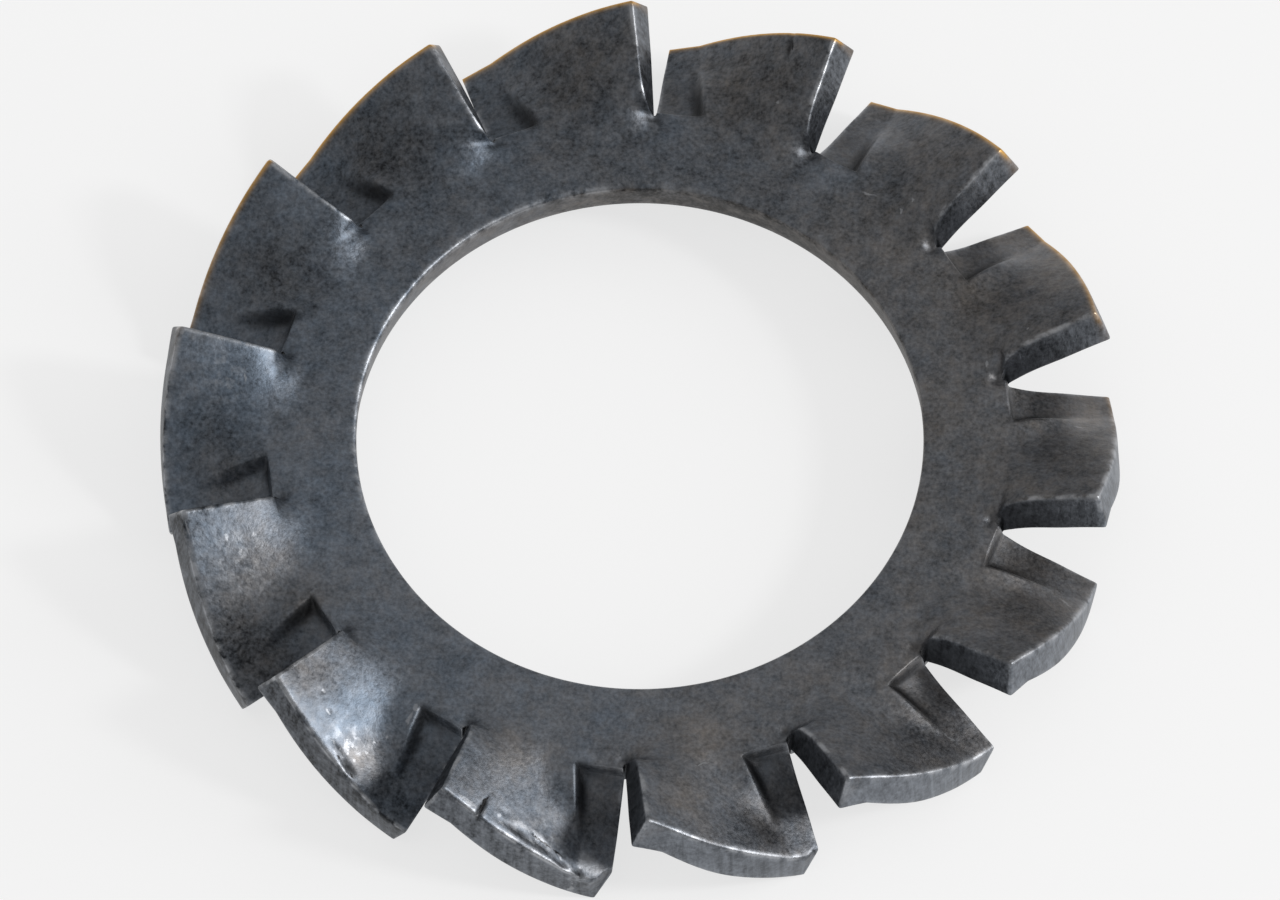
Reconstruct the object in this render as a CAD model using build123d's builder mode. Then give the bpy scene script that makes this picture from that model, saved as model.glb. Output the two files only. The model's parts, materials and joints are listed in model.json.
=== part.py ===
"""External-tooth lock washer: a flat spring-steel ring with fourteen twisted teeth round its rim.

Frame: +Z up, millimetres. The bore's axis is the Z axis, and Z = 0 is the plane that the washer
lies on, at the level of the lowest tooth corners. Tooth 0 points along +X. Seen from above, the
clockwise side of every tooth is raised and its other side is lowered. But for its end, a tooth
turned over by half a turn about its own centre line is the same tooth.
"""
from build123d import *
from math import cos, degrees, pi, radians, sin, sqrt, tan
import os

os.makedirs("parts", exist_ok=True)

# Ring
sheet = 0.61                # thickness of the spring steel
bore_radius = 4.3           # clearance bore for an 8 mm screw
bore_top_round = 0.12       # edge that the punch draws in
bore_bottom_round = 0.10    # edge that the tumbling wears off
root_radius = 5.68          # circle where the teeth leave the ring
outer_radius = 7.28         # circle of the tooth ends in the flat blank

# Slits between the teeth
tooth_count = 14
slit_width = 0.06
slit_reach = 0.20           # from the root circle into the ring

# Twist of a tooth about its centre line, in degrees
bend_reach = 0.50           # from the root circle into the ring, to where the bend starts
root_twist = 18.0
mid_twist = 28.5            # half way between the root circle and the tip
tip_twist = 34.0

# Strip that the die presses flatter, along the lowered side above and the raised side beneath
root_strip_share = 0.83     # slope of the strip as a share of the twist
tip_strip_share = 0.735
root_crease = 0.59          # from the centre line to the strip's crease
tip_crease = 1.04
root_crown = 0.01           # rise of the face between the strip's crease and the other side
tip_crown = 0.055

# Tooth ends
end_lean = 11.5             # degrees that the end face leans at the sides, square to the sheet
end_taper = 5.5             # degrees that it spreads downwards, as a punched edge does
edge_draw = 0.05            # flat on the crowned face's edges, which the punch draws in
run_out = 0.3               # a tooth is drawn this much too long, and then cut to its end face
overlap = 1.4               # the end face is drawn this many times as wide as the tooth

# How far the start of a tooth lies under the ring's faces, so that it comes out of them smoothly
bury = 0.02

# Worked out
half_sheet = sheet / 2
half_pitch = pi / tooth_count
slit_end_radius = root_radius - slit_reach
bend_start_radius = root_radius - bend_reach
mid_radius = (root_radius + outer_radius) / 2
tip_half_width = outer_radius * tan(half_pitch) - slit_width / 2
tip_half_rise = tip_half_width * sin(radians(tip_twist))


def flat_half_width(x):
    """Half the width of a tooth in the flat blank, at x along its centre line."""
    return x * tan(half_pitch) - slit_width / 2


def between(root_value, tip_value, x):
    """The value at x of what runs evenly from the root circle to the tip circle."""
    return root_value + (tip_value - root_value) * (x - root_radius) / (outer_radius - root_radius)


def tooth_section(x, twist, thickness):
    """The tooth's section at x, drawn with the lowered side at +Y."""
    strip_slope = radians(twist * between(root_strip_share, tip_strip_share, x))
    crease = max(root_crease, between(root_crease, tip_crease, x))
    crown = max(root_crown, between(root_crown, tip_crown, x))
    middle = Vector(cos(radians(twist)), -sin(radians(twist))) * flat_half_width(x)
    square = Vector(sin(strip_slope), cos(strip_slope)) * (thickness / 2)
    low_top = middle + square
    low_bottom = middle - square
    crease_top = Vector(crease, low_top.Y + (low_top.X - crease) * tan(strip_slope))
    high_top = low_bottom * -1
    up = (high_top - crease_top).rotate(Axis.Z, -90).normalized()
    crown_top = (crease_top + high_top) / 2 + up * crown
    with BuildSketch(Plane.YZ.offset(x)) as section:
        with BuildLine():
            Line(low_top, crease_top)
            ThreePointArc(crease_top, crown_top, high_top)
            Line(high_top, low_top * -1)
            Line(low_top * -1, crease_top * -1)
            ThreePointArc(crease_top * -1, crown_top * -1, low_bottom)
            Line(low_bottom, low_top)
        make_face()
    return section.sketch


def end_section(side):
    """What the end face leaves of a tooth, in the plane at a share of the half width towards +Y."""
    arc_depth = outer_radius - sqrt(outer_radius**2 - tip_half_width**2)
    reach = 2 * tip_half_rise + sheet
    lean = side * tan(radians(end_lean)) - tan(radians(end_taper))
    middle = outer_radius - arc_depth * side**2 + lean * side * tip_half_rise
    y = side * tip_half_width * cos(radians(tip_twist))
    with BuildSketch(Plane.XZ.offset(-y)) as section:
        with BuildLine():
            Polyline(
                (slit_end_radius - sheet, -reach),
                (middle - lean * reach, -reach),
                (middle + lean * reach, reach),
                (slit_end_radius - sheet, reach),
                close=True,
            )
        make_face()
    return section.sketch


with BuildPart() as tooth:
    loft(
        [
            tooth_section(bend_start_radius, 0, sheet - 2 * bury),
            tooth_section(root_radius, root_twist, sheet),
            tooth_section(mid_radius, mid_twist, sheet),
            tooth_section(outer_radius, tip_twist, sheet),
            tooth_section(outer_radius + run_out, tip_twist, sheet),
        ]
    )
    loft([end_section(-overlap), end_section(0), end_section(overlap)], mode=Mode.INTERSECT)
    crowned_face = faces().filter_by(lambda face: face.normal_at().Z > 0).sort_by(SortBy.AREA)[-1]
    end_face = faces().sort_by(Axis.X)[-1]
    raised_side = faces().sort_by(Axis.Y)[0]
    chamfer(crowned_face.edges() & (end_face.edges() + raised_side.edges()), edge_draw)

# The washer rests on the lowest corners of its teeth
ring_plane = Plane.XY.offset(-tooth.vertices().sort_by(Axis.Z)[0].Z)

with BuildPart(ring_plane) as toothed_lock_washer:
    with BuildSketch(ring_plane):
        Circle(root_radius)
        Circle(bore_radius, mode=Mode.SUBTRACT)
        with PolarLocations(root_radius, tooth_count, start_angle=degrees(half_pitch)):
            Rectangle(2 * slit_reach, slit_width, mode=Mode.SUBTRACT)
        with PolarLocations(root_radius, tooth_count):
            Rectangle(2 * slit_reach, 2 * root_crease, mode=Mode.SUBTRACT)
    extrude(amount=half_sheet, both=True)
    bore_edges = edges().filter_by(GeomType.CIRCLE).filter_by(lambda edge: edge.radius == bore_radius)
    fillet(bore_edges.sort_by(Axis.Z)[-1], bore_top_round)
    fillet(bore_edges.sort_by(Axis.Z)[0], bore_bottom_round)
    with PolarLocations(0, tooth_count):
        add(tooth.part)

toothed_lock_washer.part.label = "toothed_lock_washer"
export_step(toothed_lock_washer.part, "parts/toothed_lock_washer.step")
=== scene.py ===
"""A toothed lock washer of dark spring steel: its surface, its finish and a plain stage for it."""
import json
from math import asin, cos, pi, radians, sin, sqrt, tan

import bpy
import numpy as np
from mathutils import Matrix, Vector


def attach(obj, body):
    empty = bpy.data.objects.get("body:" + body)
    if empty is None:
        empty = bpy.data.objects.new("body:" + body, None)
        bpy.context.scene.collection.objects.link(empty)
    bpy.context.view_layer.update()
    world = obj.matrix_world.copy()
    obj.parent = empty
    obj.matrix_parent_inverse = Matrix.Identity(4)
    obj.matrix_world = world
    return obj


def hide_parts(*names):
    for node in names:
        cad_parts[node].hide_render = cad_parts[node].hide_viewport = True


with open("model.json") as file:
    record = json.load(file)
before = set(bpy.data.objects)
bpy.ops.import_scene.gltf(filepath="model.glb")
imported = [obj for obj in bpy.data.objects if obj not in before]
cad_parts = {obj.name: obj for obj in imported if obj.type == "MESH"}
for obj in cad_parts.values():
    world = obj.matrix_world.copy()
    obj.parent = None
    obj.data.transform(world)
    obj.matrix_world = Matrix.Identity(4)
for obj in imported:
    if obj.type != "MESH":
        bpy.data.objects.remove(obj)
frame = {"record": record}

bl_info = {
    "name": "Toothed Lock Washer",
    "version": (1, 0, 0),
    "blender": (4, 5, 0),
    "location": "3D View > Sidebar > Washer",
    "description": "Models an external-tooth lock washer in tempered spring steel",
    "category": "Add Mesh",
}

MM = 0.001
WASHER_NODE = "toothed_lock_washer"
BORE_RADIUS = frame["record"]["mounts"][0]["dims"]["r_mm"] * MM


def length(name, description, default):
    """A property that holds a length, given in millimetres and kept in metres."""
    return bpy.props.FloatProperty(
        name=name, description=description, default=default * MM,
        precision=5, unit="LENGTH", subtype="DISTANCE")


def angle(name, description, default):
    """A property that holds an angle, given in degrees and kept in radians."""
    return bpy.props.FloatProperty(
        name=name, description=description, default=radians(default),
        unit="ROTATION", subtype="ANGLE")


def share(name, description, default):
    """A property that holds a plain number from nothing up."""
    return bpy.props.FloatProperty(name=name, description=description, default=default, min=0.0)


def power(name, description, default):
    """A property that holds a lamp's power in watts."""
    return bpy.props.FloatProperty(
        name=name, description=description, default=default, min=0.0, unit="POWER")


def linear_colour(hex_code):
    """The linear red, green and blue of an sRGB hex value."""
    parts = [int(hex_code[i:i + 2], 16) / 255 for i in (0, 2, 4)]
    return [c / 12.92 if c <= 0.04045 else ((c + 0.055) / 1.055) ** 2.4 for c in parts]


def colour(name, description, hex_code):
    """A property that holds a colour, given as an sRGB hex value."""
    return bpy.props.FloatVectorProperty(
        name=name, description=description, default=linear_colour(hex_code),
        subtype="COLOR", size=3, min=0.0, max=1.0)


class WasherSizes(bpy.types.PropertyGroup):
    """Sizes of the pressed washer"""

    tooth_count: bpy.props.IntProperty(
        name="Teeth", description="Number of teeth round the rim", default=14, min=3)
    sheet: length("Sheet", "Thickness of the spring steel", 0.61)
    root_radius: length("Root radius", "Circle where the teeth leave the ring", 5.68)
    outer_radius: length("Outer radius", "Circle of the tooth ends in the flat blank", 7.28)
    slit_width: length("Slit", "Gap between two teeth in the flat blank", 0.06)
    slit_reach: length("Slit reach", "How far the slits run into the ring", 0.09)
    bend_reach: length("Bend reach", "How far inside the root circle the bend starts", 0.5)
    root_twist: angle("Root twist", "Twist of a tooth at the root circle", 18.0)
    mid_twist: angle("Middle twist", "Twist of a tooth half way along", 28.5)
    tip_twist: angle("Tip twist", "Twist of a tooth at its end", 34.0)
    root_strip: share(
        "Root strip slope", "Slope of the pressed strip over the twist, at the root", 0.83)
    tip_strip: share(
        "Tip strip slope", "Slope of the pressed strip over the twist, at the end", 0.735)
    root_crease: length(
        "Root crease", "From the centre line to the strip's crease, at the root", 0.52)
    tip_crease: length("Tip crease", "From the centre line to the strip's crease, at the end", 1.04)
    root_crown: length(
        "Root crown", "Rise of the face between its crease and its edge, at the root", 0.01)
    tip_crown: length(
        "Tip crown", "Rise of the face between its crease and its edge, at the end", 0.055)
    crease_drop: length(
        "Crease drop", "How far the strip is pressed in beside the crease, at the root", 0.05)
    crease_wall: length("Crease wall", "Width of the wall that drops there", 0.11)
    drop_reach: length("Crease drop reach", "From the root circle to where that wall runs out", 1.1)
    roll_off: share(
        "Roll-off", "Share of the strip's depth that the ring gives way by before it", 0.17)
    end_lean: angle("End lean", "Lean of the end face at the sides, square to the sheet", 11.5)
    end_taper: angle("End taper", "Spread of the end face downwards, from the punch", 5.5)
    funnel_radius: length("Slit end", "From the washer's axis to the drawn-in end of a slit", 5.54)
    funnel_depth: share(
        "Slit end, drawn in", "Share of the sheet that is drawn in at a slit's end", 0.24)
    funnel_spread: length("Slit end, spread", "Spread of the drawn-in place", 0.068)
    bore_taper: length("Bore taper", "How much wider the bore is below, where it broke out", 0.05)
    bore_top: length("Bore, upper edge", "Round that the punch draws in", 0.15)
    bore_bottom: length("Bore, lower edge", "Round that the tumbling wears", 0.1)
    rim_round: length("Upper end edges", "Round on the upper edges of the tooth ends", 0.1)
    side_round: length("Upper side edges", "Round on the raised edges of the teeth", 0.08)
    corner_round: length("Raised corners", "Round of the raised corners, seen from above", 0.09)
    sharp_round: length("Lower edges", "Round on the lower edges of the teeth", 0.035)


class SteelFinish(bpy.types.PropertyGroup):
    """Colours of the tempered and phosphated steel"""

    blue: colour("Blued steel", "Temper film where it is bluish", "6a7480")
    brown: colour("Brown steel", "Temper film where it is brownish", "716d6a")
    bare: colour("Bare steel", "Edges that rubbed bare", "c2c4c8")
    # Scale in the scars, and scale with painted shade in the recesses
    scale: colour("Scale", "Thick film in the recesses, where nothing rubs", "262627")
    sheared: colour(
        "Sheared steel", "Walls of the slits and tooth ends, torn by the punch", "6d7177")
    straw: colour("Straw tint", "Thin temper film along the outer edges", "d0a25a")
    roughness: share("Roughness", "Roughness of the rolled faces", 0.44)
    grain_depth: length("Grain depth", "Depth of the etched grain", 0.004)


class StageSettings(bpy.types.PropertyGroup):
    """Floor, lamps and the light from all round"""

    floor: colour("Floor", "Colour of the floor", "fafafa")
    key_power: power("Key lamp", "Power of the key lamp", 0.16)
    side_power: power("Side lamp", "Power of the large side lamp", 0.32)
    sky: share("Sky", "Strength of the even light from all round", 0.45)
    floor_white: share(
        "White of the floor", "Share of plain white in the floor that the camera sees", 0.7)


# Rows of the blank from the bore to the tooth end, and levels of its walls, as counts of cells
RING_CELLS = 10
NECK_CELLS = 2
TOOTH_CELLS = 12
WALL_CELLS = 3

# How much the ring's rows crowd towards the slits, and the two narrow cells at the root circle
ROW_CROWDING = 0.45
ROOT_STEP = 0.012 * MM
FOOT_CELL = 0.035 * MM

# Where the columns lie between a tooth's raised edge and its middle, across its middle, and
# between its crease and its lowered edge, as shares of the way. Close columns keep the crease
# sharp, and the wall at the crease takes up the first part of a strip.
RAISED_SHARES = (0.0, 0.09, 0.21, 0.37, 0.56, 0.78, 1.0)
MIDDLE_SHARES = (0.0, 0.04, 0.16, 0.33, 0.5, 0.67, 0.84, 0.96, 1.0)
STRIP_SHARES = (0.0, 0.06, 0.2, 0.4, 0.61, 0.82, 1.0)
SIDE_CELLS = len(RAISED_SHARES) - 1
CREASE_COLUMN = SIDE_CELLS + len(MIDDLE_SHARES) - 1
COLUMNS = CREASE_COLUMN + SIDE_CELLS

# Where a tooth's crown begins to give way to the fold, as a share of the way across its middle
FOLD_START = 0.3

# Where a tooth's raised edge leaves the flat, from the slit's end on, over what length, and how
# many columns that takes in
LIFT_START = -0.03 * MM
LIFT_REACH = 0.17 * MM
LIFT_COLUMNS = 4

# Points of neighbouring teeth that lie closer than this are one point
WELD_DISTANCE = 0.002 * MM

# In the tables that follow, a tooth is its number counted from +X, places and sizes are in
# millimetres in the tooth's own frame, and turns are in degrees.

# Teeth whose lowered corner was battered round in use, and that round. The corner's arc stops
# short of its steep end.
BATTERED_CORNERS = {10: 0.26, 11: 0.12}
CORNER_ARC_SHARE = 0.97

# Teeth that came out shorter along their raised edge, and by how much
SHORT_EDGES = {0: 0.04, 10: 0.03, 11: 0.14, 12: 0.12, 13: 0.05}

# Teeth with hardly any scale and painted shade in the crease, and the share of it they keep
PALE_CREASES = (7,)
PALE_CREASE_SHARE = 0.3

# Dents, nicks and scratches: tooth, place along and across it, turn of the long way, half length
# and half width, and depth
DENTS = (
    (10, 7.08, -0.6, -10, 0.2, 0.028, 0.075), (10, 7.06, 0.02, 83, 0.26, 0.05, 0.035),
    (10, 7.05, 0.36, 70, 0.14, 0.045, 0.035), (10, 7.16, 0.72, 80, 0.1, 0.045, 0.04),
    (10, 7.14, 0.95, 60, 0.08, 0.05, 0.05), (10, 6.88, -0.24, 20, 0.06, 0.04, 0.03),
    (9, 7.13, 0.3, 80, 0.12, 0.05, 0.05), (9, 7.06, 0.05, 95, 0.1, 0.03, 0.03),
    (9, 6.9, 0.12, 30, 0.05, 0.03, 0.015), (9, 6.77, -0.36, 70, 0.06, 0.035, 0.02),
    (9, 6.62, -0.64, 80, 0.045, 0.03, 0.015), (9, 6.7, 0.2, 10, 0.05, 0.03, 0.015),
    (3, 6.99, -0.5, 5, 0.2, 0.03, 0.04),
)

# Where a tooth is battered bright: tooth, place along and across it, and how far that reaches
BATTERED_PATCHES = (
    (9, 6.87, 0.12, 0.32), (10, 7.05, 0.3, 0.35), (10, 7.15, 1, 0.25), (8, 6.4, -0.3, 0.4),
    (7, 6.3, -0.6, 0.3),
)

# Scratches and specks that are rubbed bare, and painted highlights drawn the same way on some
# edges, lips and corners: tooth, place along and across it, turn of the long way, and half length
# and half width
BARE_MARKS_AND_GLINTS = (
    (10, 6.97, -0.32, 20, 0.05, 0.03), (10, 7.08, -0.24, 80, 0.06, 0.03),
    (10, 6.93, 0.02, 85, 0.16, 0.06), (10, 6.94, 0.3, 75, 0.2, 0.05),
    (10, 7.08, 0.24, 80, 0.07, 0.02), (10, 7.12, 0.39, 80, 0.05, 0.03),
    (10, 7.14, 0.52, 60, 0.06, 0.02), (10, 7.08, 0.66, 70, 0.06, 0.03),
    (10, 7.17, 0.85, 80, 0.06, 0.05), (10, 7.02, -0.8, 78, 0.2, 0.04),
    (9, 6.77, -0.38, 70, 0.07, 0.03), (9, 6.58, -0.62, 50, 0.04, 0.03),
    (9, 7.04, -0.04, 80, 0.06, 0.02), (9, 6.84, 0.07, 40, 0.03, 0.02),
    (9, 7.03, 0.08, 20, 0.03, 0.02), (9, 6.97, 0.3, 60, 0.035, 0.03),
    (9, 6.73, 0.35, 30, 0.03, 0.03), (9, 6.53, 0.34, 60, 0.04, 0.03),
    (9, 6.33, 0.42, 50, 0.03, 0.03), (9, 6.98, 0.19, 10, 0.03, 0.02),
    (9, 7.2, 0.28, 80, 0.12, 0.03), (9, 5.72, 0.47, 40, 0.07, 0.04), (9, 5.9, 0.5, 10, 0.13, 0.03),
    (8, 6.53, -0.69, 40, 0.05, 0.04), (8, 6.35, -0.61, 80, 0.04, 0.03),
    (8, 6.39, -0.45, 20, 0.04, 0.03), (8, 6.1, -0.6, 60, 0.05, 0.03),
    (7, 6.04, -0.62, 90, 0.08, 0.025), (3, 6.01, -0.56, 0, 0.035, 0.03),
    (2, 5.48, 0.1, 108, 0.14, 0.02), (2, 5.74, -0.54, 0, 0.03, 0.03),
    (2, 5.5, -0.5, 60, 0.06, 0.03), (1, 6.21, -1.13, 0, 0.045, 0.04),
    (1, 6.07, -0.85, 30, 0.05, 0.02), (1, 5.33, -0.98, 60, 0.06, 0.03),
    (0, 6.22, 0.71, 0, 0.04, 0.03), (0, 6.68, 0.62, 0, 0.1, 0.015),
    (13, 6.95, 0.72, -25, 0.15, 0.02), (12, 6.7, 0.87, 20, 0.14, 0.02),
    (11, 5.71, -0.12, 108, 0.16, 0.015), (13, 6.98, -1.14, 30, 0.06, 0.04),
    (10, 6.93, -1.24, 60, 0.05, 0.04), (10, 6.93, 1.06, 80, 0.25, 0.17),
    (8, 7.07, -0.95, 84, 0.16, 0.02), (7, 6.99, -1.12, 20, 0.06, 0.04),
    (5, 6.94, -1.2, 50, 0.06, 0.03),
)

# Narrow dark scars, likewise
DARK_MARKS = (
    (10, 6.9, -0.57, -8, 0.2, 0.03), (10, 6.99, 0.36, 82, 0.24, 0.02),
    (10, 7.05, 0.62, 80, 0.1, 0.02), (9, 7.13, 0.16, 80, 0.06, 0.025),
    (9, 7.15, 0.43, 80, 0.06, 0.025), (3, 6.95, -0.54, 17, 0.11, 0.025),
)

# Patches of painted light (above 0) and painted shade (below 0), and of film that is browner
# (above 0) or bluer: tooth, place along and across it, reach, and the two amounts
LIGHT_SHADE_AND_TINT_PATCHES = (
    (0, 6.75, 0.95, 0.45, 0.7, 0), (0, 5.3, 0.7, 0.4, 0.08, 0), (1, 5.7, 0.2, 0.4, 0, 0.6),
    (1, 6.1, 0.95, 0.4, 0.25, 0), (1, 6.7, 0.95, 0.45, 0.6, 0), (1, 5.3, 0.75, 0.4, 0.14, 0.3),
    (1, 5.9, -0.2, 0.5, -0.12, 0), (2, 6.05, 0.95, 0.4, 0.3, 0), (2, 6.4, 0.85, 0.5, 0.4, 0),
    (2, 5.35, 0.75, 0.4, 0.16, -0.3), (2, 5.75, -0.15, 0.5, -0.14, 0),
    (3, 6.1, 0.95, 0.4, 0.15, 0), (3, 6.3, 0, 0.8, -0.1, 0.4), (3, 5.35, 0.75, 0.4, 0.14, -0.3),
    (3, 5.9, -0.1, 0.6, -0.08, 0), (4, 6.3, -0.2, 0.7, 0, 0.4), (4, 6.4, -0.2, 0.9, -0.12, 0.3),
    (5, 5.6, -1, 0.5, 0.05, -0.8), (5, 6.25, 0.45, 0.5, -0.25, 0.2),
    (5, 6.4, -0.1, 0.9, -0.25, 0.3), (5, 5.7, -0.95, 0.35, -0.25, 0.4),
    (5, 6.4, -0.9, 0.45, 0.2, 0), (6, 5.6, -0.9, 0.45, 0.05, -0.6), (6, 6.2, 0.15, 0.6, -0.3, 0.2),
    (6, 6.3, -0.3, 0.9, -0.1, 0.2), (6, 5.7, -0.95, 0.35, -0.25, 0.2),
    (6, 6.4, -0.9, 0.45, 0.2, 0), (7, 6.4, 0.35, 0.6, -0.25, 0), (7, 6.1, -0.7, 0.45, 0, -0.7),
    (7, 6.2, 0.9, 0.5, -0.15, 0.6), (7, 5.7, -0.95, 0.35, -0.15, 0), (7, 6.5, 0, 0.4, -0.2, 0),
    (8, 6.95, 0.4, 0.45, -0.25, 0.2), (8, 5.7, 0.6, 0.3, 0, 0.8), (8, 6.75, 1, 0.75, -0.55, 0.6),
    (8, 6.7, -1.15, 0.3, -0.2, 0), (8, 6.3, -0.2, 0.8, 0, 0.7), (8, 4.9, 0, 1.2, 0.08, 0),
    (8, 6.8, -1.1, 0.35, -0.35, 0), (9, 6.35, 0, 0.65, 0, -0.5), (9, 6.7, 1.02, 0.75, -0.6, 0),
    (9, 6.3, -0.6, 0.5, -0.12, 0), (9, 6.6, -0.9, 0.5, -0.4, 0.8), (9, 6.85, 0.4, 0.35, 0.25, 1),
    (10, 5.75, -0.3, 0.45, 0, 0.6), (10, 6.3, 0.95, 0.5, -0.5, 0), (10, 6.4, 0.1, 0.5, -0.14, 0),
    (10, 5.45, -0.5, 0.45, 0.1, 0.3), (10, 4.8, 0, 1.2, 0.1, 0), (10, 6.6, 0.1, 0.5, -0.2, 0),
    (11, 6.2, -0.5, 0.4, 0.05, 0.8), (11, 6.2, 0.95, 0.5, -0.3, 0), (11, 6.9, 1.05, 0.4, -0.25, 0),
    (11, 6.35, 0.43, 0.2, -0.25, 0), (11, 6.62, 0.57, 0.24, -0.3, 0),
    (11, 6.88, 0.7, 0.18, -0.2, 0), (11, 6.3, -0.5, 0.5, 0.12, 0),
    (11, 5.35, -0.1, 0.45, 0.14, 0.6), (11, 5.35, -1.2, 0.35, -0.22, 0),
    (12, 6.9, 1.05, 0.4, -0.25, 0), (12, 6.2, 0.5, 0.22, -0.28, 0),
    (12, 6.55, 0.6, 0.24, -0.28, 0), (12, 5.35, -1.2, 0.35, -0.18, 0),
    (13, 6.3, -0.5, 0.6, 0.14, 0), (13, 6.8, 0.95, 0.4, 0.3, 0),
)

# Where a bend is measured, a shorter edge counts as this long
SHORTEST_EDGE = 0.0001 * MM

# Where the steel's masks go from none to full: lengths, shares of a tooth's half width, of half
# the sheet or of the slope, and bends, which are one over a radius
ROOT_BLEND = 0.1 * MM
UPPER_FACE = (-0.2, 0.6)
STEEP = (0.8, 0.55)
SIDE_WALL = (0.93, 0.99)
SIDE_EDGE = (0.85, 0.95)
END_WALL = (-0.3 * MM, -0.22 * MM)
END_RIM = (-0.14 * MM, -0.07 * MM)
RIM_BOW = 0.18 * MM
EDGE_BEND = (5 / MM, 14 / MM)
HOLLOW_BEND = (4 / MM, 12 / MM)
SCALE_AND_SHADE_EDGE = (-0.02 * MM, 0.02 * MM)
SCALE_AND_SHADE_FADE = (0.12 * MM, 0.24 * MM)
SCALE_AND_SHADE_START = 0.2 * MM
BORE_EDGE = (0.3 * MM, 0.1 * MM)
BORE_WALL = (0.2 * MM, 0.12 * MM)
BORE_STEEP = (0.75, 0.4)

# Sides where the bore's edge is rubbed bare and carries a painted highlight, the rim is tinted,
# and the bore's wall gets painted shade: the angle round from +X in degrees, and where the rise
# towards it starts and ends, as cosines
BARE_AND_HIGHLIGHT_BORE_SIDE = (150, 0.3, 0.8)
TINTED_SIDE = (88, 0.0, 0.7)
SHADED_BORE_SIDE = (40, 0.1, 0.8)

# Painted shade on the sheared walls at the front, deepest towards -X, with a little painted
# light far towards +X: how it changes along X, and where along Y it comes in
WALL_SHADE_DRIFT = (-4.5 * MM, 5.0 * MM), (-0.52, 0.12)
WALL_SHADE_FRONT = (2.5 * MM, -0.5 * MM)

# What a noise pattern mostly keeps to, and the least tone of the film
NOISE_RANGE = (0.3, 0.7)
DARKEST_TONE = 0.15


def smoothstep(t):
    """A smooth rise from 0 to 1 as t goes from 0 to 1."""
    t = np.minimum(np.maximum(t, 0), 1)
    return t * t * (3 - 2 * t)


def smooth_ramp(values, low, high):
    """A smooth rise from 0 at low to 1 at high, or the other way round."""
    return smoothstep((values - low) / (high - low))


def smooth_through(stations, x):
    """The value at x of a smooth curve through stations, a list of (place, value) pairs."""
    places = [place for place, _ in stations]
    values = [value for _, value in stations]
    gaps = [b - a for a, b in zip(places, places[1:])]
    slopes = [(b - a) / gap for a, b, gap in zip(values, values[1:], gaps)]
    tangents = [
        (gaps[i + 1] * slopes[i] + gaps[i] * slopes[i + 1]) / (gaps[i] + gaps[i + 1])
        for i in range(len(gaps) - 1)
    ]
    tangents = [2 * slopes[0] - tangents[0]] + tangents + [2 * slopes[-1] - tangents[-1]]
    i = min(max(sum(x >= place for place in places) - 1, 0), len(gaps) - 1)
    t = (x - places[i]) / gaps[i]
    return (
        (1 + 2 * t) * (1 - t) ** 2 * values[i]
        + t * (1 - t) ** 2 * gaps[i] * tangents[i]
        + t ** 2 * (3 - 2 * t) * values[i + 1]
        - t ** 2 * (1 - t) * gaps[i] * tangents[i + 1]
    )


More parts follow.
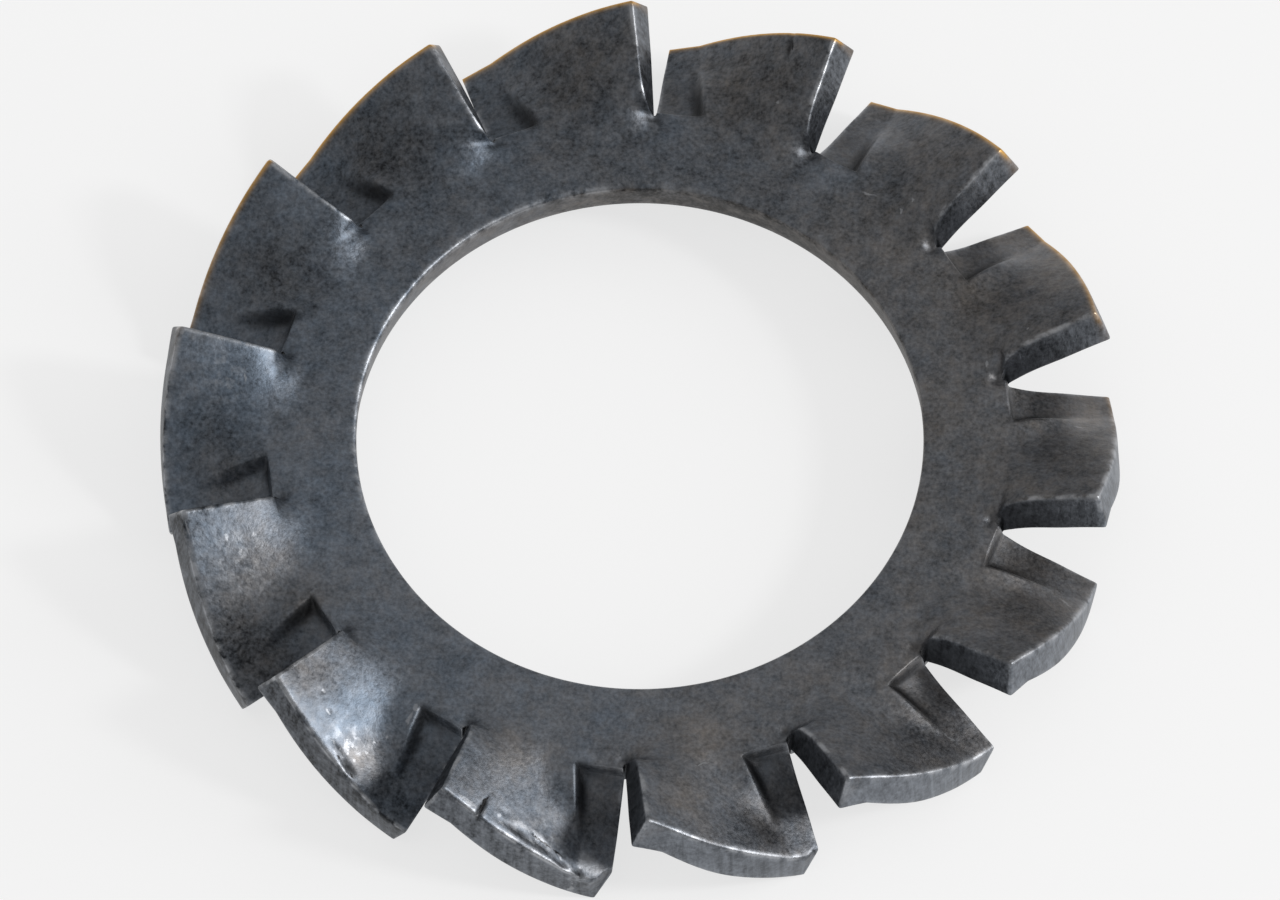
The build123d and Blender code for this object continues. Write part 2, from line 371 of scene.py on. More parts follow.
class Die:
    """The press tool: it says where each point of the flat blank goes."""

    def __init__(self, sizes):
        self.sizes = sizes
        self.pitch = 2 * pi / sizes.tooth_count
        self.half_pitch = self.pitch / 2
        self.half_sheet = sizes.sheet / 2
        self.slit_end = sizes.root_radius - sizes.slit_reach
        self.bend_start = sizes.root_radius - sizes.bend_reach
        self.middle = (sizes.root_radius + sizes.outer_radius) / 2
        self.rows = self.row_radii()
        self.neck_row = RING_CELLS
        self.root_row = RING_CELLS + NECK_CELLS
        self.end_row = len(self.rows) - 1
        self.twists = [
            (self.bend_start, 0.0),
            (sizes.root_radius, sizes.root_twist),
            (self.middle, sizes.mid_twist),
            (sizes.outer_radius, sizes.tip_twist),
        ]
        self.rest_height = 0.0

    def row_radii(self):
        """Radii of the blank's rows, with two close rows at the step of the root circle."""
        s = self.sizes
        evenly = np.linspace(0, 1, RING_CELLS + 1)[:-1]
        crowded = (1 + ROW_CROWDING) * evenly - ROW_CROWDING * evenly ** 2
        ring = BORE_RADIUS + (self.slit_end - BORE_RADIUS) * crowded
        neck = np.linspace(self.slit_end, s.root_radius - ROOT_STEP / 2, NECK_CELLS + 1)
        foot = s.root_radius + ROOT_STEP / 2
        tooth = np.linspace(foot + FOOT_CELL, s.outer_radius, TOOTH_CELLS)
        return [*ring, *neck, foot, *tooth]

    def half_width(self, x):
        """Half the width of a tooth in the flat blank, at x along its centre line."""
        return x * tan(self.half_pitch) - self.sizes.slit_width / 2

    def between(self, root_value, tip_value, x):
        """The value at x of what runs evenly from the root circle to the tip circle."""
        s = self.sizes
        along = (x - s.root_radius) / (s.outer_radius - s.root_radius)
        return root_value + (tip_value - root_value) * along

    def section(self, x, column, face, bent=1.0):
        """Where a column of the upper (1) or lower (-1) face lies in the tooth's section at x."""
        if face < 0:
            y, z = self.section(x, COLUMNS - column, 1, bent)
            return -y, -z
        s = self.sizes
        twist = bent * smooth_through(self.twists, x) if x > self.bend_start else 0.0
        strip = twist * self.between(s.root_strip, s.tip_strip, x)
        crease = max(s.root_crease, self.between(s.root_crease, s.tip_crease, x))
        crown = max(s.root_crown, self.between(s.root_crown, s.tip_crown, x))
        middle = Vector((cos(twist), -sin(twist))) * self.half_width(x)
        square = Vector((sin(strip), cos(strip))) * self.half_sheet
        low = middle + square
        high = square - middle
        fold = Vector((crease, low.y + (low.x - crease) * tan(strip)))
        if column > CREASE_COLUMN:
            fade = 1 - smoothstep((x - s.root_radius) / s.drop_reach)
            wall = s.crease_wall / (low.x - fold.x)
            foot = fold.lerp(low, STRIP_SHARES[1] + fade * (wall - STRIP_SHARES[1]))
            foot.y -= s.crease_drop * fade * min(1.0, twist / s.root_twist)
            along = (STRIP_SHARES[column - CREASE_COLUMN] - STRIP_SHARES[1]) / (1 - STRIP_SHARES[1])
            return tuple(foot.lerp(low, along))
        side = (-crease + sin(twist) * s.sheet - high.x) / (fold.x - high.x)
        if column <= SIDE_CELLS:
            along = side * RAISED_SHARES[column]
        else:
            along = side + (1 - side) * MIDDLE_SHARES[column - SIDE_CELLS]
        point = high.lerp(fold, along)
        up = Vector((high.y - fold.y, fold.x - high.x)).normalized()
        return tuple(point + up * crown * 4 * along * (1 - along))

    def column_angle(self, column):
        """The angle of a column in the ring, from the tooth's centre line."""
        fold = asin(self.sizes.root_crease / self.sizes.root_radius)
        if column > CREASE_COLUMN:
            return -self.column_angle(COLUMNS - column)
        if column < SIDE_CELLS:
            return -self.half_pitch + (self.half_pitch - fold) * RAISED_SHARES[column]
        return fold * (2 * MIDDLE_SHARES[column - SIDE_CELLS] - 1)

    def end_place(self, column, face, number):
        """The tooth's length at a column of one face, where its end face cuts it."""
        s = self.sizes
        half_width = self.half_width(s.outer_radius)
        arc_depth = s.outer_radius - sqrt(s.outer_radius ** 2 - half_width ** 2)
        x = s.outer_radius
        for _ in range(3):
            y, z = self.section(x, column, face)
            side = y / (half_width * cos(s.tip_twist))
            lean = side * tan(s.end_lean) - tan(s.end_taper)
            from_middle = z + side * half_width * sin(s.tip_twist)
            x = s.outer_radius - arc_depth * side ** 2 + lean * from_middle
        if number in BATTERED_CORNERS:
            battered = BATTERED_CORNERS[number] * MM
            into_corner = min(max(1 + (side - 1) * half_width / battered, 0.0), CORNER_ARC_SHARE)
            x -= battered * (1 - sqrt(1 - into_corner ** 2))
        x -= SHORT_EDGES.get(number, 0.0) * MM * smoothstep(-side)
        return x

    def place(self, row, column, face, number=0):
        """Where the point at a row and column of one face goes, on the tooth of a number."""
        s = self.sizes
        radius = self.rows[row]
        if row == 0 and face < 0:
            radius += s.bore_taper
        turn = self.column_angle(column)
        flat_x = radius * cos(turn)
        flat_y = radius * sin(turn)
        if radius <= self.bend_start or row < self.neck_row and column in (0, COLUMNS):
            return Vector((flat_x, flat_y, face * self.half_sheet))
        if radius > self.middle:
            tip_share = (radius - self.middle) / (s.outer_radius - self.middle)
            x = self.middle + tip_share * (self.end_place(column, face, number) - self.middle)
        else:
            straight = max(0.0, (radius - self.slit_end) / (self.middle - self.slit_end))
            x = flat_x + straight * (radius - flat_x)
        if row == self.neck_row and column in (0, COLUMNS):
            return Vector((x, flat_y * x / flat_x, face * self.half_sheet))
        y, z = self.section(x, column, face)
        straight = min(1.0, (radius - self.bend_start) / (s.root_radius - self.bend_start))
        flat_y += straight * (self.section(x, column, face, 0.0)[0] - flat_y)
        flat = Vector((x, flat_y, face * self.half_sheet))
        upper_column = column if face > 0 else COLUMNS - column
        return flat.lerp(Vector((x, y, z)), self.pressed(row, upper_column))

    def pressed(self, row, column):
        """How far the upper face has gone from flat to its full shape, at a row and column."""
        s = self.sizes
        radius = self.rows[row]
        rolled = s.roll_off * smoothstep((radius - self.bend_start) / s.bend_reach)
        past_root = smoothstep((radius - s.root_radius) / s.drop_reach)
        if column > CREASE_COLUMN:
            near_fold, full = 1.0, float(row > self.root_row)
        else:
            share_across = MIDDLE_SHARES[max(column - SIDE_CELLS, 0)]
            near_fold, full = smoothstep((share_across - FOLD_START) / (1 - FOLD_START)), past_root
        raised_edge = 1 - smoothstep((radius - self.slit_end - LIFT_START) / LIFT_REACH)
        near_slit = raised_edge * smoothstep(1 - column / LIFT_COLUMNS)
        return (1 - near_fold * (1 - rolled) * (1 - full)) * (1 - near_slit)


def select_only(piece):
    """Makes one object the only selected and the active one."""
    bpy.ops.object.select_all(action="DESELECT")
    piece.select_set(True)
    bpy.context.view_layer.objects.active = piece


def select_faces(piece, chosen):
    """Opens a piece in edit mode with only the chosen ones of its faces selected."""
    select_only(piece)
    bpy.ops.object.mode_set(mode="EDIT")
    bpy.ops.mesh.select_all(action="DESELECT")
    bpy.ops.mesh.select_mode(type="FACE")
    bpy.ops.object.mode_set(mode="OBJECT")
    piece.data.polygons.foreach_set("select", chosen)
    bpy.ops.object.mode_set(mode="EDIT")


def apply_modifier(piece, kind, **settings):
    """Adds a modifier to the piece and applies it."""
    select_only(piece)
    modifier = piece.modifiers.new(kind.title(), kind)
    for name, value in settings.items():
        setattr(modifier, name, value)
    bpy.ops.object.modifier_apply(modifier=modifier.name)


def flat_block(die):
    """One tooth's share of the flat blank: a block of rows, columns and wall levels."""
    bpy.ops.mesh.primitive_grid_add(
        x_subdivisions=die.end_row, y_subdivisions=COLUMNS, size=1, location=(0, 0, 0))
    block = bpy.context.active_object
    bpy.ops.object.mode_set(mode="EDIT")
    bpy.ops.mesh.select_all(action="SELECT")
    for _ in range(WALL_CELLS):
        bpy.ops.mesh.extrude_region_move(TRANSFORM_OT_translate={"value": (0, 0, -1 / WALL_CELLS)})
    bpy.ops.mesh.select_all(action="SELECT")
    bpy.ops.mesh.normals_make_consistent(inside=False)
    bpy.ops.object.mode_set(mode="OBJECT")
    for vertex in block.data.vertices:
        vertex.co = (
            round((vertex.co.x + 0.5) * die.end_row), round((vertex.co.y + 0.5) * COLUMNS),
            round(-vertex.co.z * WALL_CELLS))
    return block


def open_ring_sides(block, die):
    """Takes away the block's side faces inside the slit's end, where the ring runs on."""
    select_faces(block, [
        abs(face.normal.y) > 0.5 and face.center.x < die.neck_row
        for face in block.data.polygons])
    bpy.ops.mesh.delete(type="FACE")
    bpy.ops.object.mode_set(mode="OBJECT")


def edge_round(die, a, b):
    """The round that the edge between two block points gets, or nothing."""
    s = die.sizes
    row = a.x if a.x == b.x else None
    column = a.y if a.y == b.y else None
    level = a.z if a.z == b.z else None
    if level is None and row == die.end_row:
        return {0: s.corner_round, COLUMNS: s.sharp_round}.get(column, 0.0)
    if level not in (0, WALL_CELLS):
        return 0.0
    if row == 0:
        return s.bore_top if level == 0 else s.bore_bottom
    if row == die.end_row:
        return s.rim_round if level == 0 else s.sharp_round
    if column not in (0, COLUMNS) or min(a.x, b.x) < die.neck_row:
        return 0.0
    return s.side_round if level == 0 and column == 0 else s.sharp_round


def mark_rounds(block, die):
    """Gives each sharp edge its weight for the bevel, as a share of the largest round."""
    weights = block.data.attributes.new("bevel_weight_edge", "FLOAT", "EDGE")
    points = [vertex.co.copy() for vertex in block.data.vertices]
    for edge, weight in zip(block.data.edges, weights.data):
        a, b = (points[i] for i in edge.vertices)
        weight.value = edge_round(die, a, b) / die.sizes.bore_top


def press(block, die, number):
    """Presses a copy of the block into a tooth, and turns it to its place on the ring."""
    turn = Matrix.Rotation(die.pitch * number, 3, "Z")
    for vertex in block.data.vertices:
        row, column, level = (round(c) for c in vertex.co)
        upper = die.place(row, column, 1, number)
        lower = die.place(row, column, -1, number)
        vertex.co = turn @ upper.lerp(lower, level / WALL_CELLS)


def add_washer_mesh(die):
    """The whole washer: fourteen pressed copies of one blank, sewn into one skin."""
    block = flat_block(die)
    open_ring_sides(block, die)
    mark_rounds(block, die)
    teeth = []
    for number in range(die.sizes.tooth_count):
        tooth = block.copy()
        tooth.data = block.data.copy()
        bpy.context.scene.collection.objects.link(tooth)
        press(tooth, die, number)
        teeth.append(tooth)
    bpy.data.objects.remove(block)
    select_only(teeth[0])
    for tooth in teeth:
        tooth.select_set(True)
    bpy.ops.object.join()
    washer = bpy.context.active_object
    bpy.ops.object.mode_set(mode="EDIT")
    bpy.ops.mesh.select_all(action="SELECT")
    bpy.ops.mesh.remove_doubles(threshold=WELD_DISTANCE)
    bpy.ops.object.mode_set(mode="OBJECT")
    apply_modifier(washer, "BEVEL", width=die.sizes.bore_top, segments=2, limit_method="WEIGHT")
    apply_modifier(washer, "SUBSURF", levels=1)
    die.rest_height = -min(vertex.co.z for vertex in washer.data.vertices)
    for vertex in washer.data.vertices:
        vertex.co.z += die.rest_height
    washer.data.shade_smooth()
    washer.name = washer.data.name = "washer"
    return washer


def read_points(mesh, what="co"):
    """The mesh's points, or their normals, as rows of x, y and z."""
    rows = np.empty(len(mesh.vertices) * 3)
    mesh.vertices.foreach_get(what, rows)
    return rows.reshape(-1, 3)


def move_points(piece, points):
    """Puts the piece's points at new places."""
    piece.data.vertices.foreach_set("co", points.ravel())
    piece.data.update()


def edge_ends(mesh):
    """The two point numbers of each edge."""
    ends = np.empty(len(mesh.edges) * 2, dtype=int)
    mesh.edges.foreach_get("vertices", ends)
    return ends.reshape(-1, 2).T


def soften(values, ends):
    """Averages the values with those of the neighbouring points."""
    total, count = values.copy(), np.ones_like(values)
    for here, there in (ends, ends[::-1]):
        np.add.at(total, here, values[there])
        np.add.at(count, here, 1)
    return total / count


def bends(mesh):
    """How sharply the surface bends outwards and inwards at each point, as one over a radius."""
    points, normals = read_points(mesh), read_points(mesh, "normal")
    first, second = edge_ends(mesh)
    along = points[second] - points[first]
    squared = np.maximum((along ** 2).sum(1), SHORTEST_EDGE ** 2)
    bend = ((normals[second] - normals[first]) * along).sum(1) / squared
    outwards, inwards = np.zeros(len(points)), np.zeros(len(points))
    for end in (first, second):
        np.maximum.at(outwards, end, bend)
        np.maximum.at(inwards, end, -bend)
    return outwards, inwards


def along_axes(x, y, turn):
    """A place as it is seen from axes that are turned by an angle."""
    return x * np.cos(turn) + y * np.sin(turn), y * np.cos(turn) - x * np.sin(turn)


def fading(x, y, reach):
    """1 where x and y are 0, and less the farther they are from there."""
    return np.exp(-(x ** 2 + y ** 2) / reach ** 2)


def tooth_places(points, die):
    """Each point's tooth number, and its place in that tooth's own frame, from mid sheet."""
    px, py, pz = points.T
    number = np.round(np.arctan2(py, px) / die.pitch)
    x, y = along_axes(px, py, number * die.pitch)
    return number.astype(int) % die.sizes.tooth_count, x, y, pz - die.rest_height


def draw_in_slit_ends(washer, die):
    """Draws the sheet in round the end of each slit, where the punch tore it."""
    s = die.sizes
    points = read_points(washer.data)
    px, py, pz = points.T
    turn = (np.floor(np.arctan2(py, px) / die.pitch) + 0.5) * die.pitch
    along, aside = along_axes(px, py, turn)
    near = fading(along - s.funnel_radius, aside, sqrt(2) * s.funnel_spread)
    pz -= s.funnel_depth * near * (pz - die.rest_height)
    move_points(washer, points)


def refine_ends(washer, die, teeth):
    """Cuts the upper faces finer at the ends of some teeth, where there are dents to model."""
    centres = np.array([face.center[:] for face in washer.data.polygons])
    number, x, _, _ = tooth_places(centres, die)
    upwards = np.array([face.normal.z > 0.1 for face in washer.data.polygons])
    select_faces(washer, np.isin(number, teeth) & upwards & (x > die.middle))
    bpy.ops.mesh.subdivide(number_cuts=1)
    bpy.ops.object.mode_set(mode="OBJECT")


def press_dents(washer, die):
    """Presses each dent, nick and scratch into its tooth."""
    points = read_points(washer.data)
    number, x, y, _ = tooth_places(points, die)
    upper = read_points(washer.data, "normal")[:, 2] > 0
    for tooth, at_x, at_y, turn, half_length, half_width, depth in DENTS:
        along, aside = along_axes(x - at_x * MM, y - at_y * MM, radians(turn))
        near = fading(along / half_length, aside / half_width, MM)
        points[:, 2] -= depth * MM * near * (number == tooth) * upper
    move_points(washer, points)


def paint(mesh, name, values):
    """Keeps one value for each point of the mesh under a name that the steel reads."""
    layer = mesh.attributes.new(name, "FLOAT", "POINT")
    layer.data.foreach_set("value", np.clip(values, 0, 1).astype(np.float32))


def on_side(azimuth, turn, low, high):
    """A smooth rise to 1 towards the side of the washer at a turn in degrees."""
    return smooth_ramp(np.cos(azimuth - radians(turn)), low, high)


def paint_masks(washer, die):
    """Says where the steel is rubbed bare, darkened by thick film and painted shade, sheared or
    tinted, and where light and shade are painted on it.
    """
    mesh = washer.data
    s = die.sizes
    points, normals, ends = read_points(mesh), read_points(mesh, "normal"), edge_ends(mesh)
    number, x, y, z = tooth_places(points, die)
    px, py, _ = points.T
    radius, azimuth = np.hypot(px, py), np.arctan2(py, px)
    slope = np.abs(normals[:, 2])
    places, angles = zip(*die.twists)
    twist = np.interp(x, places, angles)
    across = (y * np.cos(twist) - z * np.sin(twist)) / die.half_width(x)
    depth = (y * np.sin(twist) + z * np.cos(twist)) / die.half_sheet
    on_tooth = smooth_ramp(radius, s.root_radius - ROOT_BLEND, s.root_radius)
    upper = smooth_ramp(depth, *UPPER_FACE)
    outwards, inwards = bends(mesh)

    # Scale and painted shade: in the crease, most of it near the root, and in the hollows
    crease = np.maximum(s.root_crease, die.between(s.root_crease, s.tip_crease, x))
    past_crease = np.where(depth > 0, y, -y) - crease
    wedge = smooth_ramp(past_crease, *SCALE_AND_SHADE_EDGE)
    wedge *= 1 - 0.8 * smooth_ramp(past_crease, *SCALE_AND_SHADE_FADE)
    wedge *= 1 - smooth_ramp(x, s.root_radius + SCALE_AND_SHADE_START, s.root_radius + s.drop_reach)
    wedge *= np.where(np.isin(number, PALE_CREASES), PALE_CREASE_SHARE, 1.0)
    hollow = smooth_ramp(inwards, *HOLLOW_BEND)
    paint(mesh, "recess", soften(np.maximum(on_tooth * wedge, hollow), ends))

    # Walls that the punch sheared
    side_wall = smooth_ramp(np.abs(across), *SIDE_WALL) * on_tooth
    end_wall = smooth_ramp(x - s.outer_radius, *END_WALL)
    steep = smooth_ramp(slope, *STEEP)
    sheared = soften(np.maximum(side_wall, end_wall) * steep, ends)
    paint(mesh, "sheared", sheared)

    # Rubbed edges, least on the bore but for one side of it, where the bare edge is also a painted
    # highlight
    edges = smooth_ramp(outwards, *EDGE_BEND)
    at_bore = smooth_ramp(radius - BORE_RADIUS, *BORE_EDGE)
    at_bore *= 0.2 + 0.8 * on_side(azimuth, *BARE_AND_HIGHLIGHT_BORE_SIDE)
    side_edge = smooth_ramp(np.abs(across), *SIDE_EDGE) * on_tooth
    exposed = 0.05 + 0.95 * np.maximum(side_edge, np.maximum(end_wall, at_bore))
    paint(mesh, "rubbed", soften(edges * exposed * (0.25 + 0.35 * upper), ends))

    # Straw tint: along the upper rim of one side, and a trace of it on the end walls there
    rim = smooth_ramp(x + RIM_BOW * across ** 2 - s.outer_radius, *END_RIM)
    tinted = np.maximum((0.25 + 0.75 * edges) * upper, 0.12 * end_wall * steep)
    paint(mesh, "straw", soften(rim * tinted * on_side(azimuth, *TINTED_SIDE), ends))

    battered = np.zeros(len(points))
    for tooth, at_x, at_y, reach in BATTERED_PATCHES:
        near = fading(x - at_x * MM, y - at_y * MM, reach * MM)
        battered = np.maximum(battered, near * (number == tooth) * upper)
    paint(mesh, "battered", battered)

    # Painted light and shade, and hue: painted shade on the walls to one side, a brownish bore with
    # painted shade on one side, and the patches of painted light, painted shade and tint
    painted_light_and_shade = np.interp(px, *WALL_SHADE_DRIFT) * sheared * smooth_ramp(py, *WALL_SHADE_FRONT)
    in_bore = smooth_ramp(radius - BORE_RADIUS, *BORE_WALL) * smooth_ramp(slope, *BORE_STEEP)
    painted_light_and_shade -= 0.5 * in_bore * on_side(azimuth, *SHADED_BORE_SIDE)
    browner = 0.8 * in_bore
    for tooth, at_x, at_y, reach, light, brown in LIGHT_SHADE_AND_TINT_PATCHES:
        at_x, at_y = along_axes(at_x * MM, at_y * MM, -die.pitch * tooth)
        near = fading(px - at_x, py - at_y, reach * MM) * (normals[:, 2] > 0)
        painted_light_and_shade += light * near
        browner += brown * near
    paint(mesh, "painted_light_and_shade", 0.5 + 0.5 * painted_light_and_shade)
    paint(mesh, "browner", 0.5 + 0.5 * browner)


def add_node(tree, kind, settings=None, links=None):
    """Adds a shader node, sets its values and inputs, and links what comes in."""
    node = tree.nodes.new("ShaderNode" + kind)
    for name, value in (settings or {}).items():
        if isinstance(name, str) and hasattr(node, name):
            setattr(node, name, value)
        else:
            node.inputs[name].default_value = value
    for name, source in (links or {}).items():
        tree.links.new(getattr(source, "outputs", [source])[0], node.inputs[name])
    return node


def add_marks(tree, place, die, marks):
    """A pattern that is 1 in the middle of each mark and 0 away from all of them."""
    pattern = None
    for tooth, at_x, at_y, turn, half_length, half_width in marks:
        tooth_turn = die.pitch * tooth
        at = along_axes(at_x * MM, at_y * MM, -tooth_turn)
        local = add_node(tree, "Mapping", {
            "vector_type": "TEXTURE", "Location": (*at, 0),
            "Rotation": (0, 0, tooth_turn + radians(turn)),
            "Scale": (half_length * MM, half_width * MM, 1.0)}, {"Vector": place})
        away = add_node(tree, "VectorMath", {"operation": "LENGTH"}, {0: local})
        mark = add_node(
            tree, "MapRange", {"interpolation_type": "SMOOTHSTEP", 1: 1.0, 2: 0.5},
            {"Value": away.outputs["Value"]})
        if pattern:
            mark = add_node(tree, "Math", {"operation": "MAXIMUM"}, {0: pattern, 1: mark})
        pattern = mark
    return pattern


def spring_steel(finish, die):
    """Spring steel, tempered and thinly phosphated after it was pressed.

    The film is a dark satin that wanders between blue-grey and brown-grey, with a fine etched
    grain. It is rubbed bare along the sharp edges, with painted highlights on some edges, lips and
    corners, and darkened by thick film and painted shade in the recesses. Light and shade are
    painted on it in patches, on the sheared walls, in the bore and towards the front.
    """
    material = bpy.data.materials.new("tempered_spring_steel")
    material.use_nodes = True
    tree = material.node_tree
    tree.nodes.clear()
    place = add_node(tree, "TexCoord").outputs["Object"]
    upright = add_node(tree, "Mapping", {"Scale": (1, 1, 0.08)}, {"Vector": place})
    xyz = add_node(tree, "SeparateXYZ", links={"Vector": place})
    masks = {
        name: add_node(tree, "Attribute", {"attribute_name": name}).outputs["Fac"]
        for name in ("recess", "sheared", "rubbed", "straw", "battered", "painted_light_and_shade", "browner")
    }
    patches, clouds, spots, grain, tears = (
        add_node(
            tree, "TexNoise", {"Scale": 1 / (size * MM), "Detail": detail, "Roughness": rough},
            {"Vector": along})
        for size, detail, rough, along in (
            (0.9, 4.0, 0.65, place),  # patches of the temper film
            (0.32, 4.0, 0.62, place),  # clouds in it
            (0.15, 3.0, 0.6, place),  # spots
            (0.06, 2.0, 0.6, place),  # the etched grain, drawn coarser than it is
            (0.09, 3.0, 0.6, upright),  # lines that the punch tore down the walls
        ))

    # Marks with ragged edges
    ragged = add_node(
        tree, "VectorMath", {"operation": "SUBTRACT", 1: (0.5, 0.5, 0.5)},
        {0: spots.outputs["Color"]})
    ragged = add_node(
        tree, "VectorMath", {"operation": "MULTIPLY_ADD", 1: (0.14 * MM,) * 3},
        {0: ragged, 2: place})
    bare_marks_and_glints = add_marks(tree, ragged, die, BARE_MARKS_AND_GLINTS)
    dark_marks = add_marks(tree, ragged, die, DARK_MARKS)

    # The film's colour: bluer to one side and browner to the other, in patches and spots
    hue = add_node(
        tree, "MapRange", {1: -7 * MM, 2: 7 * MM, 3: -0.35, 4: 0.3}, {"Value": xyz.outputs["X"]})
    hue = add_node(tree, "Math", {"operation": "ADD"}, {0: hue, 1: masks["browner"]})
    for pattern, swing in ((patches, 1.0), (spots.outputs["Color"], 0.8)):
        swung = add_node(
            tree, "Math", {"operation": "MULTIPLY_ADD", 1: swing, 2: -swing / 2}, {0: pattern})
        hue = add_node(tree, "Math", {"operation": "ADD"}, {0: hue, 1: swung})
    film = add_node(
        tree, "Mix", {"data_type": "RGBA", 6: (*finish.blue, 1), 7: (*finish.brown, 1)},
        {0: hue}).outputs[2]
    film = add_node(
        tree, "Mix", {"data_type": "RGBA", 7: (*finish.sheared, 1)},
        {0: masks["sheared"], 6: film}).outputs[2]

    # How light it is: the painted light and shade of the mask, patches, clouds, spots and grain
    # everywhere, tears on the walls, and painted light that grows towards the front (-Y)
    tone = add_node(tree, "Math", {"operation": "MULTIPLY", 1: 2.0}, {0: masks["painted_light_and_shade"]})
    for pattern, low, high, swing, mask in (
            (patches, *NOISE_RANGE, 0.12, None),
            (clouds, *NOISE_RANGE, 0.23, None),
            (spots, *NOISE_RANGE, 0.16, None),
            (grain, *NOISE_RANGE, 0.28, None),
            (tears, *NOISE_RANGE, 0.3, "sheared"),
            (xyz.outputs["Y"], 6 * MM, -6 * MM, 0.16, None)):
        part = add_node(
            tree, "MapRange", {1: low, 2: high, 3: -swing, 4: swing}, {"Value": pattern})
        if mask:
            part = add_node(tree, "Math", {"operation": "MULTIPLY"}, {0: part, 1: masks[mask]})
        tone = add_node(tree, "Math", {"operation": "ADD"}, {0: tone, 1: part})
    tone = add_node(tree, "Math", {"operation": "MAXIMUM", 1: DARKEST_TONE}, {0: tone})
    film = add_node(tree, "VectorMath", {"operation": "SCALE"}, {"Vector": film, "Scale": tone})

    # Scale and painted shade in the recesses
    scale = add_node(tree, "MapRange", {1: 0.25, 2: 0.6, 3: 0.55, 4: 0.9}, {"Value": clouds})
    scale = add_node(tree, "Math", {"operation": "MULTIPLY"}, {0: scale, 1: masks["recess"]})

    # Bare steel: broken lines along the edges, battered places, and the marks, some of which are
    # painted highlights
    rubbed = add_node(tree, "Math", {"operation": "MULTIPLY", 1: 0.34}, {0: bare_marks_and_glints})
    for pattern, low, high, most, mask in (
            (clouds, 0.42, 0.6, 1.0, "rubbed"), (spots, 0.5, 0.66, 0.32, "battered")):
        part = add_node(tree, "MapRange", {1: low, 2: high, 4: most}, {"Value": pattern})
        part = add_node(tree, "Math", {"operation": "MULTIPLY"}, {0: part, 1: masks[mask]})
        rubbed = add_node(tree, "Math", {"operation": "MAXIMUM"}, {0: rubbed, 1: part})

    # Over the film: scale in the scars, scale and painted shade in the recesses, bare steel with
    # its painted highlights, and the straw tint
    for cover, where in (
            (finish.scale, dark_marks), (finish.scale, scale), (finish.bare, rubbed),
            (finish.straw, masks["straw"])):
        film = add_node(
            tree, "Mix", {"data_type": "RGBA", 7: (*cover, 1)}, {0: where, 6: film}).outputs[2]

    # The film is rougher in the recesses, and bare steel is smoother
    low, high = NOISE_RANGE
    rough = add_node(
        tree, "MapRange",
        {1: low, 2: high, 3: finish.roughness - 0.05, 4: finish.roughness + 0.05},
        {"Value": grain})
    for mask, change in ((masks["recess"], 0.15), (rubbed, -0.14)):
        rough = add_node(
            tree, "Math", {"operation": "MULTIPLY_ADD", 1: change}, {0: mask, 2: rough})

    # Relief: the etched grain and clouds, and the tears on the walls
    relief = add_node(tree, "Math", {"operation": "MULTIPLY_ADD", 1: 0.8}, {0: clouds, 2: grain})
    tear_relief = add_node(
        tree, "Math", {"operation": "MULTIPLY"}, {0: tears, 1: masks["sheared"]})
    relief = add_node(
        tree, "Math", {"operation": "MULTIPLY_ADD", 1: 2.0}, {0: tear_relief, 2: relief})
    bump = add_node(tree, "Bump", {"Distance": finish.grain_depth}, {"Height": relief})
    shader = add_node(
        tree, "BsdfPrincipled", {"Metallic": 1.0},
        {"Base Color": film, "Roughness": rough, "Normal": bump})
    add_node(tree, "OutputMaterial", links={"Surface": shader})
    return material


class WASHER_OT_washer(bpy.types.Operator):
    """Press, round and finish the washer"""

    bl_idname = "washer.washer"
    bl_label = "Washer"

    def execute(self, context):
        scene = context.scene
        die = Die(scene.washer_sizes)
        washer = add_washer_mesh(die)
        draw_in_slit_ends(washer, die)
        refine_ends(washer, die, sorted({dent[0] for dent in DENTS}))
        press_dents(washer, die)
        paint_masks(washer, die)
        washer.data.materials.append(spring_steel(scene.washer_finish, die))
        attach(washer, "root")
        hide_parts(WASHER_NODE)
        return {"FINISHED"}


# Camera, as the washer is seen: from in front and well above, almost without perspective
CAMERA_TURN = radians(-87.66)
CAMERA_RISE = radians(61.67)
CAMERA_ROLL = radians(-0.08)
CAMERA_DISTANCE = 0.5
VIEW_WIDTH = 19.47 * MM
VIEW_PIXELS = (1280, 900)
CENTRE_PIXEL = (639.94, 445.4)
RING_HEIGHT = 1.15 * MM
SENSOR_WIDTH = 36.0

# A small key lamp and a large soft one beside it: angle round from +X and up from the floor,
# distance, and size
KEY_LAMP = (radians(-9.5), radians(38.5), 0.25, 0.035)
SIDE_LAMP = (radians(8), radians(22), 0.3, 0.18)

FLOOR_SIZE = 2.0


def direction(turn, rise):
    """The direction at an angle round from +X and an angle up from the floor."""
    return Vector((cos(turn) * cos(rise), sin(turn) * cos(rise), sin(rise)))


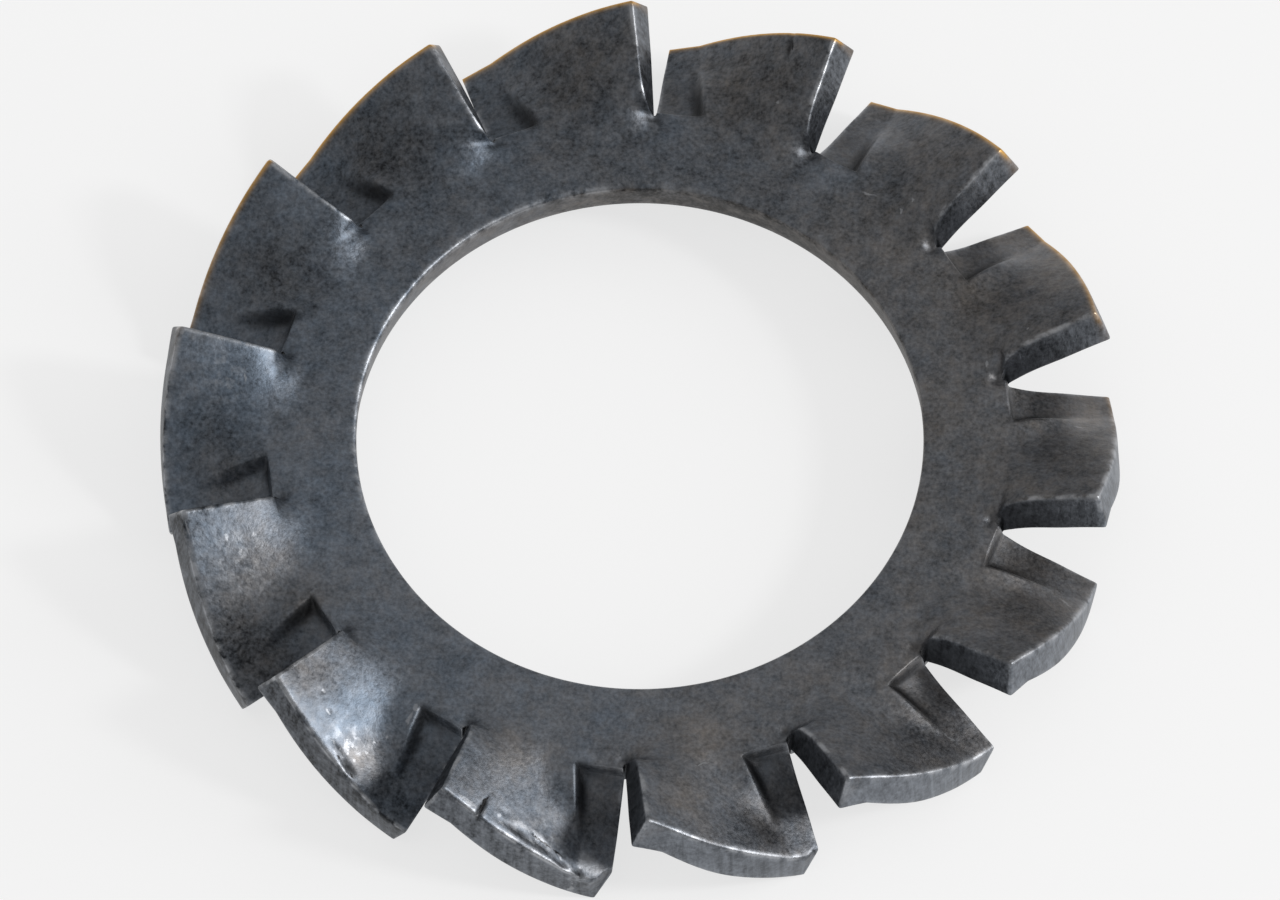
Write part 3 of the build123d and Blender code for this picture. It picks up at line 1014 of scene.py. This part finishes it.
def add_camera():
    """A very long lens, so that the view is almost without perspective."""
    data = bpy.data.cameras.new("camera")
    camera = bpy.data.objects.new("camera", data)
    bpy.context.scene.collection.objects.link(camera)
    away = direction(CAMERA_TURN, CAMERA_RISE)
    camera.location = Vector((0, 0, RING_HEIGHT)) + away * CAMERA_DISTANCE
    upright = away.to_track_quat("Z", "Y").to_matrix()
    camera.rotation_euler = (upright @ Matrix.Rotation(CAMERA_ROLL, 3, "Z")).to_euler()
    data.sensor_width = SENSOR_WIDTH
    data.lens = SENSOR_WIDTH * CAMERA_DISTANCE / VIEW_WIDTH
    data.shift_x = (VIEW_PIXELS[0] / 2 - CENTRE_PIXEL[0]) / VIEW_PIXELS[0]
    data.shift_y = (CENTRE_PIXEL[1] - VIEW_PIXELS[1] / 2) / VIEW_PIXELS[0]
    bpy.context.scene.camera = camera


def add_lamp(name, turn, rise, distance, size, power):
    """A square soft lamp that points at the middle of the washer."""
    data = bpy.data.lights.new(name, "AREA")
    data.size = size
    data.energy = power
    lamp = bpy.data.objects.new(name, data)
    bpy.context.scene.collection.objects.link(lamp)
    away = direction(turn, rise)
    lamp.location = away * distance
    lamp.rotation_euler = away.to_track_quat("Z", "Y").to_euler()


def add_world(strength):
    """Even white light from all round."""
    world = bpy.data.worlds.new("studio")
    world.use_nodes = True
    background = world.node_tree.nodes["Background"].inputs
    background["Color"].default_value = (1, 1, 1, 1)
    background["Strength"].default_value = strength
    bpy.context.scene.world = world


def add_floor(settings):
    """A white board: to the camera and in the steel it is mostly white, with a faint shadow."""
    bpy.ops.mesh.primitive_plane_add(size=FLOOR_SIZE, location=(0, 0, 0))
    floor = bpy.context.active_object
    floor.name = "floor"
    material = bpy.data.materials.new("matt_white_board")
    material.use_nodes = True
    tree = material.node_tree
    board = tree.nodes["Principled BSDF"]
    board.inputs["Base Color"].default_value = (*settings.floor, 1)
    board.inputs["Roughness"].default_value = 0.9
    path = add_node(tree, "LightPath")
    seen = path.outputs["Is Camera Ray"]
    for ray in ("Is Glossy Ray", "Is Transmission Ray"):
        seen = add_node(tree, "Math", {"operation": "MAXIMUM"}, {0: seen, 1: path.outputs[ray]})
    share_white = add_node(
        tree, "Math", {"operation": "MULTIPLY", 1: settings.floor_white}, {0: seen})
    white = add_node(tree, "Emission")
    mixed = add_node(tree, "MixShader", links={0: share_white, 1: board, 2: white})
    tree.links.new(mixed.outputs[0], tree.nodes["Material Output"].inputs["Surface"])
    floor.data.materials.append(material)


class WASHER_OT_stage(bpy.types.Operator):
    """Set up the floor, the lamps and the camera"""

    bl_idname = "washer.stage"
    bl_label = "Stage"

    def execute(self, context):
        settings = context.scene.washer_stage
        add_floor(settings)
        add_world(settings.sky)
        add_lamp("key_lamp", *KEY_LAMP, settings.key_power)
        add_lamp("side_lamp", *SIDE_LAMP, settings.side_power)
        add_camera()
        context.scene.view_settings.view_transform = "Standard"
        return {"FINISHED"}


class WASHER_PT_panel(bpy.types.Panel):
    """Lists the washer's operators"""

    bl_label = "Toothed Lock Washer"
    bl_idname = "WASHER_PT_panel"
    bl_space_type = "VIEW_3D"
    bl_region_type = "UI"
    bl_category = "Washer"

    def draw(self, context):
        for operator in (WASHER_OT_washer, WASHER_OT_stage):
            self.layout.operator(operator.bl_idname)


CLASSES = (
    WasherSizes, SteelFinish, StageSettings, WASHER_OT_washer, WASHER_OT_stage, WASHER_PT_panel)


def register():
    for item in CLASSES:
        bpy.utils.register_class(item)
    bpy.types.Scene.washer_sizes = bpy.props.PointerProperty(type=WasherSizes)
    bpy.types.Scene.washer_finish = bpy.props.PointerProperty(type=SteelFinish)
    bpy.types.Scene.washer_stage = bpy.props.PointerProperty(type=StageSettings)


def unregister():
    del bpy.types.Scene.washer_stage
    del bpy.types.Scene.washer_finish
    del bpy.types.Scene.washer_sizes
    for item in reversed(CLASSES):
        bpy.utils.unregister_class(item)


def main():
    """Builds the washer and its stage."""
    register()
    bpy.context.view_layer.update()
    bpy.ops.washer.washer()
    bpy.ops.washer.stage()


if __name__ == "__main__":
    main()
